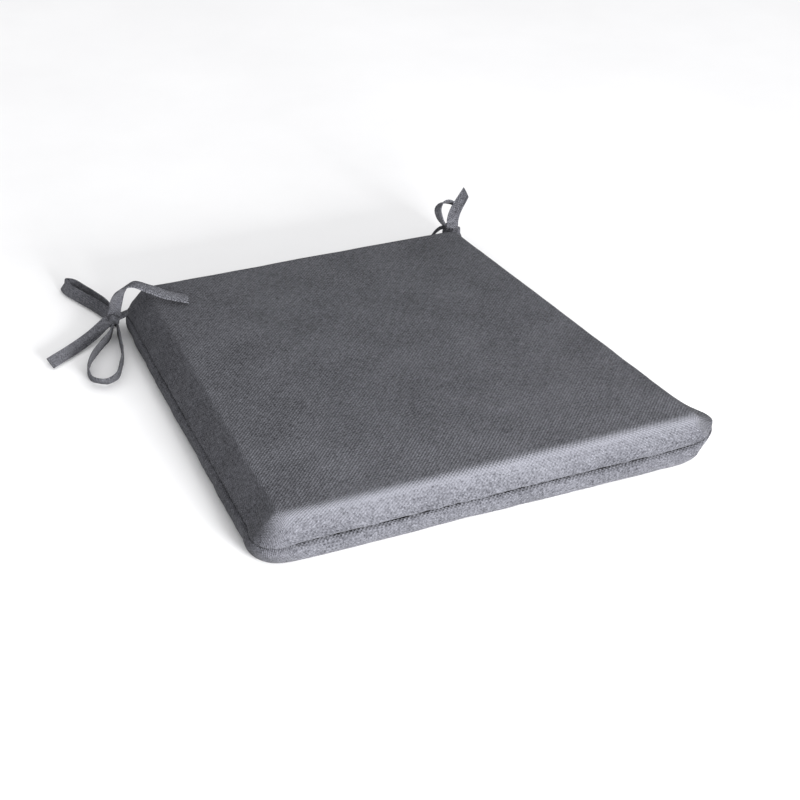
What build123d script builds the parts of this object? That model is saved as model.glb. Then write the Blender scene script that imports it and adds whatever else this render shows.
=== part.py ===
"""Foam seat pad with a tapered removable cover, a zip in the back seam and a tie bow at each back corner.

Frame: the origin is the middle of the flat underside, +X to the sitter's right seen from the front edge,
+Y towards the back edge with the ties, +Z up. Lengths are in millimetres.
"""

from build123d import *
from math import cos, radians, sin
import os

os.makedirs("parts", exist_ok=True)

# The pad. Its plan is measured at the seam, where the cover is widest.
THICKNESS = 40.0
SEAM_FRONT_WIDTH = 404.0
SEAM_BACK_WIDTH = 342.0
SEAM_DEPTH = 396.0
SEAM_HEIGHT = 15.0
SEAM_CORNER_RADIUS = 22.0
TOP_SIDE_INSET = 17.0
TOP_END_INSET = 11.0
TOP_EDGE_RADIUS = 7.0
BASE_INSET = 3.0
BASE_EDGE_RADIUS = 2.0
CLOTH = 1.2

# What the seam and the foam leave between them.
FOAM_GAP = 1.6
ALLOWANCE_WIDTH = 8.0
ALLOWANCE_ROOT = 1.0
THREAD_INSET = 5.0
THREAD = 0.6

# The zip in the back seam.
ZIP_WINDOW_LENGTH = 256.0
ZIP_WINDOW_HEIGHT = 9.0
TAPE_LENGTH = 266.0
TAPE_FACE = SEAM_DEPTH / 2 - 3.7
TAPE_THICKNESS = 0.5
TAPE_GAP = 1.2
TAPE_RISE = 12.0
TAPE_DROP = 11.0
COIL_DEPTH = 2.0
COIL_HEIGHT = 1.8
STITCH_MARGIN = 3.0
SLIDER_LENGTH = 10.0
SLIDER_HEIGHT = 8.0
SLIDER_CORNER = 2.0
OUTER_PLATE_THICKNESS = 1.0
INNER_PLATE_THICKNESS = 0.7
FLANGE = 0.7
WEB_LENGTH = 4.0
WEB_HEIGHT = 0.5
BRIDGE_LENGTH = 7.0
BRIDGE_HEIGHT = 2.6
BRIDGE_WIDTH = 1.6
CROSSBAR_RADIUS = 0.5
PULL_WIDTH = 5.6
PULL_ARM = 0.8
PULL_ARM_REACH = 6.0
PULL_SLOT = 5.0
PULL_SLOT_WIDTH = 2.2
JOIN = 0.1
SLIDER_REST_X = 118.0
SLIDER_TRAVEL = 236.0
PULL_LENGTH = 24.0
STOP_LENGTH = 3.0

# The ties are folded strips of the cover's cloth.
STRAP_WIDTH = 11.0
STRAP_THICKNESS = 1.8
NECK_THICKNESS = 3.2
NECK_EDGE_RADIUS = 1.2
LEFT_ROOT = Vector(-172.5, 184.9, 15.0)
LEFT_TANGENT = Vector(0.37, 0.93, 0).normalized()
LEFT_KNOT = Vector(-182.0, 185.0, 12.5)
RIGHT_ROOT = Vector(166.9, 194.0, 15.5)
RIGHT_TANGENT = Vector(1, -1, 0).normalized()
RIGHT_KNOT = Vector(163.0, 201.0, 30.0)
KNOT_RADIUS = 5.6
KNOT_LENGTH = 14.0
KNOT_EDGE_RADIUS = 2.5
KNOT_PLAY = 0.4
TACK_RISE = 1.6
FLOOR_GAP = 0.3
PLY_GAP = 0.6


def half_width(y):
    """Half of the seam's width at a distance y back from the middle."""
    share = (y + SEAM_DEPTH / 2) / SEAM_DEPTH
    return (SEAM_FRONT_WIDTH + (SEAM_BACK_WIDTH - SEAM_FRONT_WIDTH) * share) / 2


def plan(side_inset, end_inset):
    """Draw the tapered plan with rounded corners, inside the seam line by the two insets."""
    y = SEAM_DEPTH / 2 - end_inset
    front = half_width(-y) - side_inset
    back = half_width(y) - side_inset
    outline = Polygon((-front, -y), (front, -y), (back, y), (-back, y), align=None)
    fillet(outline.vertices(), SEAM_CORNER_RADIUS - (side_inset + end_inset) / 2)


def slab(low, low_insets, high, high_insets, edge_height, edge_radius):
    """A closed block between two plans, with the edge at edge_height rolled over."""
    with BuildPart() as block:
        with BuildSketch(Plane.XY.offset(low)):
            plan(*low_insets)
        with BuildSketch(Plane.XY.offset(high)):
            plan(*high_insets)
        loft(ruled=True)
        rim = block.edges().filter_by_position(Axis.Z, edge_height - 0.01, edge_height + 0.01)
        fillet(rim, edge_radius)
    return block


def ring(low, high, outer_inset, inner_inset):
    """A flat band that follows the seam all the way round."""
    with BuildPart() as band:
        with BuildSketch(Plane.XY.offset(low)):
            plan(outer_inset, outer_inset)
        extrude(amount=high - low)
        with BuildSketch(Plane.XY.offset(low)):
            plan(inner_inset, inner_inset)
        extrude(amount=high - low, mode=Mode.SUBTRACT)
    return band


def save(piece, name):
    """Label a finished piece and write its STEP file."""
    piece.part.label = name
    export_step(piece.part, f"parts/{name}.step")


# --- Pad -------------------------------------------------------------------------------------------

upper_block = slab(
    SEAM_HEIGHT, (0, 0), THICKNESS, (TOP_SIDE_INSET, TOP_END_INSET), THICKNESS, TOP_EDGE_RADIUS
)
upper_hollow = slab(
    SEAM_HEIGHT,
    (CLOTH, CLOTH),
    THICKNESS - CLOTH,
    (TOP_SIDE_INSET + CLOTH, TOP_END_INSET + CLOTH),
    THICKNESS - CLOTH,
    TOP_EDGE_RADIUS - CLOTH,
)
lower_block = slab(0, (BASE_INSET, BASE_INSET), SEAM_HEIGHT, (0, 0), 0, BASE_EDGE_RADIUS)
lower_hollow = slab(
    CLOTH,
    (BASE_INSET + CLOTH, BASE_INSET + CLOTH),
    SEAM_HEIGHT,
    (CLOTH, CLOTH),
    CLOTH,
    BASE_EDGE_RADIUS - CLOTH,
)

with BuildPart() as zip_window:
    with BuildSketch(Plane.XZ.offset(-(SEAM_DEPTH / 2 + 5))):
        with Locations((0, SEAM_HEIGHT)):
            Rectangle(ZIP_WINDOW_LENGTH, ZIP_WINDOW_HEIGHT)
    extrude(amount=ALLOWANCE_WIDTH + 10)

with BuildPart() as allowance_gap:
    with BuildSketch(Plane.XY.offset(SEAM_HEIGHT)):
        with Locations((0, SEAM_DEPTH / 2 - CLOTH - ALLOWANCE_WIDTH)):
            Rectangle(TAPE_LENGTH + 2, 2 * ALLOWANCE_WIDTH)
    extrude(amount=2 * CLOTH + THREAD, both=True)

# The top panel runs over the edge and down to the seam, where its allowance turns in.
with BuildPart() as top_cover:
    add(upper_block.part)
    add(upper_hollow.part, mode=Mode.SUBTRACT)
    allowance = ring(SEAM_HEIGHT, SEAM_HEIGHT + CLOTH, ALLOWANCE_ROOT, ALLOWANCE_WIDTH)
    add(allowance.part - allowance_gap.part)
    add(zip_window.part, mode=Mode.SUBTRACT)

# The bottom panel is the underside and the low band up to the seam.
with BuildPart() as bottom_cover:
    add(lower_block.part)
    add(lower_hollow.part, mode=Mode.SUBTRACT)
    allowance = ring(SEAM_HEIGHT - CLOTH, SEAM_HEIGHT, ALLOWANCE_ROOT, ALLOWANCE_WIDTH)
    add(allowance.part - allowance_gap.part)
    add(zip_window.part, mode=Mode.SUBTRACT)

# The foam is a straight-sided slab cut to the top panel's plan.
with BuildPart() as foam_core:
    with BuildSketch(Plane.XY.offset(CLOTH + 0.3)):
        plan(TOP_SIDE_INSET + FOAM_GAP, TOP_END_INSET + FOAM_GAP)
    extrude(amount=THICKNESS - 2 * CLOTH - 0.6)
    fillet(foam_core.edges().group_by(Axis.Z)[-1], TOP_EDGE_RADIUS - CLOTH)

# The lockstitch: a needle thread on the upper allowance and a bobbin thread under the lower one.
thread_outer = THREAD_INSET
thread_inner = THREAD_INSET + THREAD

with BuildPart() as seam_needle_thread:
    row = ring(SEAM_HEIGHT + CLOTH, SEAM_HEIGHT + CLOTH + THREAD, thread_outer, thread_inner)
    add(row.part - allowance_gap.part)

with BuildPart() as seam_bobbin_thread:
    row = ring(SEAM_HEIGHT - CLOTH - THREAD, SEAM_HEIGHT - CLOTH, thread_outer, thread_inner)
    add(row.part - allowance_gap.part)

save(top_cover, "top_cover")
save(bottom_cover, "bottom_cover")
save(foam_core, "foam_core")
save(seam_needle_thread, "seam_needle_thread")
save(seam_bobbin_thread, "seam_bobbin_thread")

# --- Zip -------------------------------------------------------------------------------------------

WALL_SLOPE = TOP_END_INSET / (THICKNESS - SEAM_HEIGHT)
tape_back = TAPE_FACE - TAPE_THICKNESS
tape_bend = SEAM_HEIGHT + ZIP_WINDOW_HEIGHT / 2 + 0.5
tape_top = SEAM_HEIGHT + TAPE_RISE
tape_foot = SEAM_HEIGHT - TAPE_DROP
tape_lean = WALL_SLOPE * (tape_top - tape_bend)


def along_zip(length, centre_x=0.0):
    """The plane across the zip from which a profile in Y and Z is drawn out along X."""
    return Plane(origin=(centre_x - length / 2, 0, 0), x_dir=(0, 1, 0), z_dir=(1, 0, 0))


# The upper tape bends with the sloping wall that it is sewn behind. The lower one is straight.
with BuildPart() as zip_upper_tape:
    with BuildSketch(along_zip(TAPE_LENGTH)):
        Polygon(
            (TAPE_FACE, SEAM_HEIGHT + TAPE_GAP / 2),
            (TAPE_FACE, tape_bend),
            (TAPE_FACE - tape_lean, tape_top),
            (tape_back - tape_lean, tape_top),
            (tape_back, tape_bend),
            (tape_back, SEAM_HEIGHT + TAPE_GAP / 2),
            align=None,
        )
    extrude(amount=TAPE_LENGTH)

with BuildPart() as zip_lower_tape:
    with BuildSketch(along_zip(TAPE_LENGTH)):
        Polygon(
            (TAPE_FACE, SEAM_HEIGHT - TAPE_GAP / 2),
            (TAPE_FACE, tape_foot),
            (tape_back, tape_foot),
            (tape_back, SEAM_HEIGHT - TAPE_GAP / 2),
            align=None,
        )
    extrude(amount=TAPE_LENGTH)

coil_start = SLIDER_REST_X - SLIDER_TRAVEL - SLIDER_LENGTH / 2 - 1
coil_end = SLIDER_REST_X + SLIDER_LENGTH / 2 + 1
coil_length = coil_end - coil_start
coil_middle = (coil_start + coil_end) / 2


def coil(side):
    """One half of the zip's coil, on the upper (1) or the lower (-1) tape."""
    with BuildPart() as half:
        with BuildSketch(along_zip(coil_length, coil_middle)):
            middle = SEAM_HEIGHT + side * (TAPE_GAP + COIL_HEIGHT) / 2
            with Locations((TAPE_FACE + COIL_DEPTH / 2, middle)):
                RectangleRounded(COIL_DEPTH, COIL_HEIGHT, 0.6)
        extrude(amount=coil_length)
    return half


zip_upper_coil = coil(1)
zip_lower_coil = coil(-1)

# Two stops where the zip closes, and one block across both halves where it opens.
with BuildPart() as zip_end_stops:
    stop_height = COIL_HEIGHT + 0.4
    for side in (-1, 1):
        with BuildSketch(along_zip(STOP_LENGTH, coil_end + STOP_LENGTH / 2)):
            middle = SEAM_HEIGHT + side * (TAPE_GAP + stop_height) / 2
            with Locations((TAPE_FACE + COIL_DEPTH / 2, middle)):
                RectangleRounded(COIL_DEPTH, stop_height, 0.5)
        extrude(amount=STOP_LENGTH)
    with BuildSketch(along_zip(STOP_LENGTH, coil_start - STOP_LENGTH / 2)):
        with Locations((TAPE_FACE + COIL_DEPTH / 2, SEAM_HEIGHT)):
            RectangleRounded(COIL_DEPTH, TAPE_GAP + 2 * stop_height, 0.5)
    extrude(amount=STOP_LENGTH)

# One row of stitches holds each tape to its panel.
with BuildPart() as zip_stitching:
    stitch_reach = ZIP_WINDOW_HEIGHT / 2 + STITCH_MARGIN
    upper_face = SEAM_DEPTH / 2 - WALL_SLOPE * stitch_reach
    lower_face = SEAM_DEPTH / 2 - BASE_INSET / SEAM_HEIGHT * stitch_reach
    for face, height in ((upper_face, SEAM_HEIGHT + stitch_reach), (lower_face, SEAM_HEIGHT - stitch_reach)):
        with BuildSketch(along_zip(TAPE_LENGTH - 4)):
            with Locations((face + THREAD, height)):
                Circle(THREAD / 2)
        extrude(amount=TAPE_LENGTH - 4)

# The slider: a plate each side of the tapes, joined by a thin web that runs between the coils.
outer_plate = TAPE_FACE + COIL_DEPTH + 0.7
plate_front = outer_plate + OUTER_PLATE_THICKNESS
inner_plate = tape_back - 0.5
crossbar_y = plate_front + 0.9

with BuildPart() as zip_slider:
    with BuildSketch(Plane.XZ.offset(-plate_front)):
        with Locations((SLIDER_REST_X, SEAM_HEIGHT)):
            RectangleRounded(SLIDER_LENGTH, SLIDER_HEIGHT, SLIDER_CORNER)
    extrude(amount=OUTER_PLATE_THICKNESS)
    with BuildSketch(Plane.XZ.offset(-inner_plate)):
        with Locations((SLIDER_REST_X, SEAM_HEIGHT)):
            RectangleRounded(SLIDER_LENGTH, SLIDER_HEIGHT - 2 * INNER_PLATE_THICKNESS, SLIDER_CORNER)
    extrude(amount=INNER_PLATE_THICKNESS)
    with BuildSketch(Plane.XZ.offset(-(outer_plate + JOIN))):
        with Locations((SLIDER_REST_X, SEAM_HEIGHT)):
            Rectangle(WEB_LENGTH, WEB_HEIGHT)
    extrude(amount=outer_plate - inner_plate + 2 * JOIN)
    with BuildSketch(Plane.XZ.offset(-(outer_plate + JOIN))):
        with Locations((SLIDER_REST_X, SEAM_HEIGHT)):
            with GridLocations(0, SLIDER_HEIGHT - FLANGE, 1, 2):
                Rectangle(SLIDER_LENGTH - 2 * SLIDER_CORNER, FLANGE)
    extrude(amount=COIL_DEPTH - JOIN)
    with BuildSketch(Plane.XY.offset(SEAM_HEIGHT)):
        with Locations((SLIDER_REST_X, plate_front + BRIDGE_HEIGHT / 2 - JOIN)):
            RectangleRounded(BRIDGE_LENGTH, BRIDGE_HEIGHT + 2 * JOIN, 0.9)
        with Locations((SLIDER_REST_X, crossbar_y - JOIN / 2)):
            Rectangle(BRIDGE_LENGTH - 2.4, 3 * CROSSBAR_RADIUS + 2 * JOIN, mode=Mode.SUBTRACT)
    extrude(amount=BRIDGE_WIDTH / 2, both=True)

# The pull tab swings on its crossbar, which passes through the slider's bridge.
pull_plate = PULL_LENGTH - PULL_ARM_REACH + 1
with BuildPart() as zip_pull:
    with BuildSketch(Plane.XY.offset(SEAM_HEIGHT)):
        with Locations((SLIDER_REST_X, crossbar_y)):
            Circle(CROSSBAR_RADIUS)
    extrude(amount=PULL_WIDTH / 2 - PULL_ARM, both=True)
    with BuildSketch(Plane.XZ.offset(-(crossbar_y + CROSSBAR_RADIUS))):
        with Locations((SLIDER_REST_X - PULL_ARM_REACH / 2, SEAM_HEIGHT)):
            with GridLocations(0, 2 * (PULL_WIDTH / 2 - 1.5 * PULL_ARM), 1, 2):
                Rectangle(PULL_ARM_REACH, PULL_ARM)
        with Locations((SLIDER_REST_X - PULL_LENGTH + pull_plate / 2, SEAM_HEIGHT)):
            RectangleRounded(pull_plate, PULL_WIDTH, PULL_WIDTH / 3)
        with Locations((SLIDER_REST_X - PULL_LENGTH + PULL_SLOT - CROSSBAR_RADIUS, SEAM_HEIGHT)):
            SlotOverall(PULL_SLOT, PULL_SLOT_WIDTH, mode=Mode.SUBTRACT)
    extrude(amount=2 * CROSSBAR_RADIUS)

save(zip_upper_tape, "zip_upper_tape")
save(zip_lower_tape, "zip_lower_tape")
save(zip_upper_coil, "zip_upper_coil")
save(zip_lower_coil, "zip_lower_coil")
save(zip_end_stops, "zip_end_stops")
save(zip_stitching, "zip_stitching")
save(zip_slider, "zip_slider")
save(zip_pull, "zip_pull")

# --- Ties ------------------------------------------------------------------------------------------


def roll(centre, along, play=0.0):
    """A knot as a round-ended roll along the line through its centre, swollen by any play."""
    length = KNOT_LENGTH + 2 * play
    with BuildPart() as lump:
        with BuildSketch(Plane(origin=centre - along * length / 2, z_dir=along)):
            Circle(KNOT_RADIUS + play)
        extrude(amount=length)
        fillet(lump.edges().filter_by(GeomType.CIRCLE), KNOT_EDGE_RADIUS)
    return lump


def neck(root, across, lump):
    """The two strands, one on the other, from the seam to the surface of the knot or its clearance."""
    run = lump.part.center() - root
    with BuildPart() as strands:
        with BuildSketch(Plane(origin=root, x_dir=across, z_dir=run.normalized())):
            RectangleRounded(STRAP_WIDTH, NECK_THICKNESS, NECK_EDGE_RADIUS)
        extrude(amount=run.length)
        add(lump.part, mode=Mode.SUBTRACT)
    return strands


def strap_on_edge(points, plane, lump, offset=0.0):
    """A strap whose line is drawn in the plane and whose width stands up from it."""
    with BuildPart() as strap:
        with BuildSketch(plane.offset(offset)):
            with BuildLine():
                Spline(*points)
            trace(line_width=STRAP_THICKNESS)
        extrude(amount=STRAP_WIDTH)
        add(lump.part, mode=Mode.SUBTRACT)
    return strap


def strap_on_face(points, plane, lump, offset=0.0):
    """A strap that lies in the plane with its face showing."""
    with BuildPart() as strap:
        with BuildSketch(plane.offset(offset)):
            with BuildLine():
                Spline(*points)
            trace(line_width=STRAP_WIDTH)
        extrude(amount=STRAP_THICKNESS)
        add(lump.part, mode=Mode.SUBTRACT)
    return strap


def bar_tack(root):
    """Dense stitches across the top panel's side, where a tie is caught in the seam."""
    band = ring(SEAM_HEIGHT + TACK_RISE, SEAM_HEIGHT + 2 * TACK_RISE, TACK_RISE / 2, THREAD_INSET)
    with BuildPart() as tack:
        add(band.part)
        with Locations(root):
            Box(STRAP_WIDTH, STRAP_WIDTH, STRAP_WIDTH, mode=Mode.INTERSECT)
        add(upper_block.part, mode=Mode.SUBTRACT)
    return tack


left_bar_tack = bar_tack(LEFT_ROOT)
right_bar_tack = bar_tack(RIGHT_ROOT)

# The left bow lies on the surface that the pad stands on, with one tail up over the pad's corner.
ground = Plane.XY.offset(FLOOR_GAP)
left_knot = roll(LEFT_KNOT, LEFT_TANGENT)

back_loop_line = [
    (-183, 190), (-181, 205), (-186, 225), (-194, 247), (-200, 266),
    (-199, 275), (-193, 272), (-186, 257), (-180, 238), (-176, 220), (-177, 204), (-179, 190),
]
front_loop_line = [
    (-185, 181), (-191, 170), (-206, 153), (-220, 136), (-227, 119), (-226, 106), (-218, 100),
    (-208, 104), (-199, 117), (-192, 133), (-188, 149), (-184, 166), (-181, 180),
]
left_loop_back = strap_on_edge(back_loop_line, ground, left_knot)
left_loop_front = strap_on_edge(front_loop_line, ground, left_knot)

# Each of these tails bends in an upright plane: distance out from the knot, then height.
outer_tail_foot = Vector(LEFT_KNOT.X, LEFT_KNOT.Y + 3, 0)
outer_tail_plane = Plane(origin=outer_tail_foot, x_dir=(-0.85, -0.53, 0), z_dir=(-0.53, 0.85, 0))
outer_tail_line = [(3, 13), (12, 10.5), (28, 5.5), (50, 2.6), (84, 2.0)]
inner_tail_foot = Vector(LEFT_KNOT.X, LEFT_KNOT.Y, 0)
inner_tail_plane = Plane(origin=inner_tail_foot, x_dir=(0.77, -0.64, 0), z_dir=(-0.64, -0.77, 0))
inner_tail_line = [(0, 15), (3, 27), (9, 39), (20, 46), (35, 45), (50, 42.3), (70, 41.7)]
half_strap = -STRAP_WIDTH / 2
left_tail_out = strap_on_edge(outer_tail_line, outer_tail_plane, left_knot, half_strap)
left_tail_over = strap_on_edge(inner_tail_line, inner_tail_plane, left_knot, half_strap)

# The right bow stands up from its corner. Its plane leans back by BOW_LEAN and faces the front left.
BOW_TURN = -27.4
BOW_LEAN = 20.0
sideways = Vector(cos(radians(BOW_TURN)), sin(radians(BOW_TURN)), 0)
outward = Vector(-sideways.Y, sideways.X, 0)
upward = outward * sin(radians(BOW_LEAN)) + Vector(0, 0, cos(radians(BOW_LEAN)))
bow_plane = Plane(origin=RIGHT_KNOT, x_dir=sideways, z_dir=sideways.cross(upward))
drop_foot = Vector(RIGHT_KNOT.X, RIGHT_KNOT.Y, 0)
drop_plane = Plane(origin=drop_foot, x_dir=(0.35, 0.94, 0), z_dir=(0.94, -0.35, 0))
right_knot = roll(RIGHT_KNOT, RIGHT_TANGENT)

upper_tail_line = [(0, 2), (0.5, 12), (4, 22), (13, 38)]
upper_loop_line = [
    (-5, 1), (-9, 5), (-13, 12), (-14.5, 19), (-10.5, 25), (-4, 27), (1, 23), (2.5, 15), (2, 3),
]
lower_tail_line = [(-8, -3), (-12, -2), (-17, -5), (-22, -12), (-25, -20)]
lower_loop_line = [(8, 31), (17, 28), (29, 20), (37, 9), (33, 4), (24, 7), (16, 15), (10, 24)]
right_tail_up = strap_on_face(upper_tail_line, bow_plane, right_knot, PLY_GAP - half_strap)
right_loop_up = strap_on_edge(upper_loop_line, bow_plane, right_knot, half_strap)
right_tail_down = strap_on_edge(lower_tail_line, bow_plane, right_knot, 3 * half_strap - PLY_GAP)
right_loop_down = strap_on_edge(lower_loop_line, drop_plane, right_knot, half_strap)

# The left bow folds about its knot, so the neck stays with the pad, clear of the knot that turns on it.
# The right bow folds at the seam, so its neck goes with it.
left_neck = neck(LEFT_ROOT, LEFT_TANGENT, roll(LEFT_KNOT, LEFT_TANGENT, KNOT_PLAY))
right_neck = neck(RIGHT_ROOT, RIGHT_TANGENT, right_knot)

for piece, name in (
    (left_bar_tack, "left_bar_tack"),
    (right_bar_tack, "right_bar_tack"),
    (left_neck, "left_neck"),
    (left_knot, "left_knot"),
    (left_loop_back, "left_loop_back"),
    (left_loop_front, "left_loop_front"),
    (left_tail_out, "left_tail_out"),
    (left_tail_over, "left_tail_over"),
    (right_neck, "right_neck"),
    (right_knot, "right_knot"),
    (right_loop_up, "right_loop_up"),
    (right_loop_down, "right_loop_down"),
    (right_tail_up, "right_tail_up"),
    (right_tail_down, "right_tail_down"),
):
    save(piece, name)
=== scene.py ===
"""The chair seat pad's looks: woven covers over the foam, the zip in the back seam and two tie bows."""

from math import cos, pi, radians, sin

import bpy
import numpy as np
from mathutils import Matrix, Vector, noise


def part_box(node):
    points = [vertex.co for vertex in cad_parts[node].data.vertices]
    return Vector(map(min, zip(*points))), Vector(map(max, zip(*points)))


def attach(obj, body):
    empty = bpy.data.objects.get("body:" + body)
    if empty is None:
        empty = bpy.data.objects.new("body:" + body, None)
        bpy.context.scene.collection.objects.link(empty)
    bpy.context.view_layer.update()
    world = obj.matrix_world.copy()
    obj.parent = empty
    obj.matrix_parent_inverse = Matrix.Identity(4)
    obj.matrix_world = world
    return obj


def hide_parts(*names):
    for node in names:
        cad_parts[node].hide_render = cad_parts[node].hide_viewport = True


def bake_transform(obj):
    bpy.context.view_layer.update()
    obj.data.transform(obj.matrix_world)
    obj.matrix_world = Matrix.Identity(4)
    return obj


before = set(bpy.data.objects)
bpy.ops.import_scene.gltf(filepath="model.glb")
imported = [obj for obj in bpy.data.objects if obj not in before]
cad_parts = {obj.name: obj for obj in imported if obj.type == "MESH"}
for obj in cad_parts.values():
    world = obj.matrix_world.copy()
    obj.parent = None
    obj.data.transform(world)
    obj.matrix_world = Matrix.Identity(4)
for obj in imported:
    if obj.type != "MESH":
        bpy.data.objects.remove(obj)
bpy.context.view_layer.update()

MM = 0.001

# The pad's sizes, in millimetres.
FRONT_HALF = 202.0
BACK_HALF = 171.0
DEPTH_HALF = 198.0
SEAM_Z = 15.0
EDGE_Z = 38.2
CROWN_Z = 39.8
SIDE_INSET = 17.0
END_INSET = 11.0
SEAM_RADIUS = 24.0
# The plan's corner radius sharpens from the seam to the top, at these sums of a ring's two insets.
RADIUS_INSETS = (0.0, 2.5, 9.0, 28.0)
RADII = (SEAM_RADIUS, 20.0, 13.0, 7.5)
CLOTH = 1.0
RIM_RISE = 0.45
FOAM_GAP = 2.2
FOAM_TOP_GAP = 1.5

# How the pad's mesh is divided.
GRID = 44
STEPS = 2 * GRID
AROUND = 4 * STEPS
CORNER_STEPS = 7
ROLL_STEPS = 6
# How many rings the zip's opening takes on each side of the seam, up to WINDOW_HIGH and down to WINDOW_LOW.
WINDOW_RINGS = 4
# The bottom panel's flat cloth is this far from the top panel's, in millimetres, so the two weaves differ.
BASE_CLOTH_AWAY = 900.0

# What the cloth simulation may do to the covers.
PRESSURE = 4.0
SIM_FRAMES = 20
SIM_CAP = 1.6
SLACK = 0.004
CLOTH_MASS = 0.3
CLOTH_STIFFNESS = 12
CLOTH_BENDING = 3.0
LOOSENING_RINGS = 12
RIM_HOLD = 0.75
ROLL_HOLD = 0.7
ZIP_HOLD_TOP = 24.0

# The zip's opening in the back seam.
WINDOW_HALF = 128.0
WINDOW_LOW = 10.5
WINDOW_HIGH = 19.5
COIL_PITCH = 1.3
COIL_WIRE = 0.32
STITCH = 2.7
STITCH_GAP = 0.5
STITCH_THREAD = 0.28

# The ties' folded strip.
STRAP_WIDTH = 11.0
STRAP_THICKNESS = 1.8
STRAP_HALF = STRAP_WIDTH / 2
STRAP_STEP = 1.6
KNOT_RADIUS = 5.3
KNOT_SIDES = 40
KNOT_RINGS = 28

# How far the painted highlight lightens the cover's colour, and where along the front's rolled edge it lies.
PAINTED_HIGHLIGHT_LIFT = 0.62
PAINTED_HIGHLIGHT_FROM = 178.0
PAINTED_HIGHLIGHT_HEIGHT = 36.3
PAINTED_HIGHLIGHT_SPREAD = 1.9

# The gathers beside the seam and the cover's slight unevenness.
PUCKER_SIZE = 0.55
PUCKER_AWAY = 3.0
PUCKER_REACH = 3.2
UNEVEN_SIZE = 0.3

# The camera as solved from the photo's view of the pad: its place in metres, its turns in degrees, its
# lens and sensor in millimetres.
CAMERA_AT = (-0.6305, -1.2333, 0.8290)
CAMERA_AZIMUTH = -27.43
CAMERA_ELEVATION = 31.18
CAMERA_ROLL = 2.63
CAMERA_LENS = 85.49
CAMERA_SENSOR = 36.0

FLOOR_HALF = 9000.0


# --- Materials -----------------------------------------------------------------------------------


def new_material(name, roughness, sheen=0.0, metallic=0.0, gloss=0.5):
    """A material, its node tree and its shader. gloss is the specular level, 0.5 for a plain surface."""
    made = bpy.data.materials.new(name)
    made.use_nodes = True
    shader = made.node_tree.nodes["Principled BSDF"]
    shader.inputs["Roughness"].default_value = roughness
    shader.inputs["Metallic"].default_value = metallic
    shader.inputs["Specular IOR Level"].default_value = gloss
    shader.inputs["Sheen Weight"].default_value = sheen
    shader.inputs["Sheen Roughness"].default_value = 0.5
    return made, made.node_tree, shader


def node(tree, kind, inputs=None, **settings):
    """One node, with its settings and its unlinked inputs filled in."""
    made = tree.nodes.new(kind)
    for key, value in settings.items():
        setattr(made, key, value)
    for key, value in (inputs or {}).items():
        made.inputs[key].default_value = value
    return made


def maths(tree, operation, a, b):
    """A math node on sockets or numbers."""
    made = node(tree, "ShaderNodeMath", operation=operation)
    for k, value in enumerate((a, b)):
        if isinstance(value, (int, float)):
            made.inputs[k].default_value = value
        else:
            tree.links.new(value, made.inputs[k])
    return made.outputs[0]


def scaled(tree, vector, scale):
    """A coordinate multiplied along each axis."""
    made = node(tree, "ShaderNodeVectorMath", {1: scale}, operation="MULTIPLY")
    tree.links.new(vector, made.inputs[0])
    return made.outputs[0]


def grain(tree, vector, scale, detail=2.0, rough=0.5):
    """A noise value from 0 to 1 over a coordinate."""
    made = node(tree, "ShaderNodeTexNoise", {"Scale": scale, "Detail": detail, "Roughness": rough})
    tree.links.new(vector, made.inputs["Vector"])
    return made.outputs["Fac"]


def spread(tree, value, low, high, to_low=0.0, to_high=1.0):
    """A value's range mapped onto another."""
    inputs = {"From Min": low, "From Max": high, "To Min": to_low, "To Max": to_high}
    made = node(tree, "ShaderNodeMapRange", inputs)
    tree.links.new(value, made.inputs["Value"])
    return made.outputs[0]


def between(tree, shader, share, dark, light):
    """The shader's colour, from dark to light by a share."""
    made = node(tree, "ShaderNodeMix", {6: (*dark, 1), 7: (*light, 1)}, data_type="RGBA")
    tree.links.new(share, made.inputs[0])
    tree.links.new(made.outputs[2], shader.inputs["Base Color"])


def relief(tree, shader, height, strength, depth):
    """Bump on the shader from a height."""
    made = node(tree, "ShaderNodeBump", {"Strength": strength, "Distance": depth})
    tree.links.new(height, made.inputs["Height"])
    tree.links.new(made.outputs[0], shader.inputs["Normal"])


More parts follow.
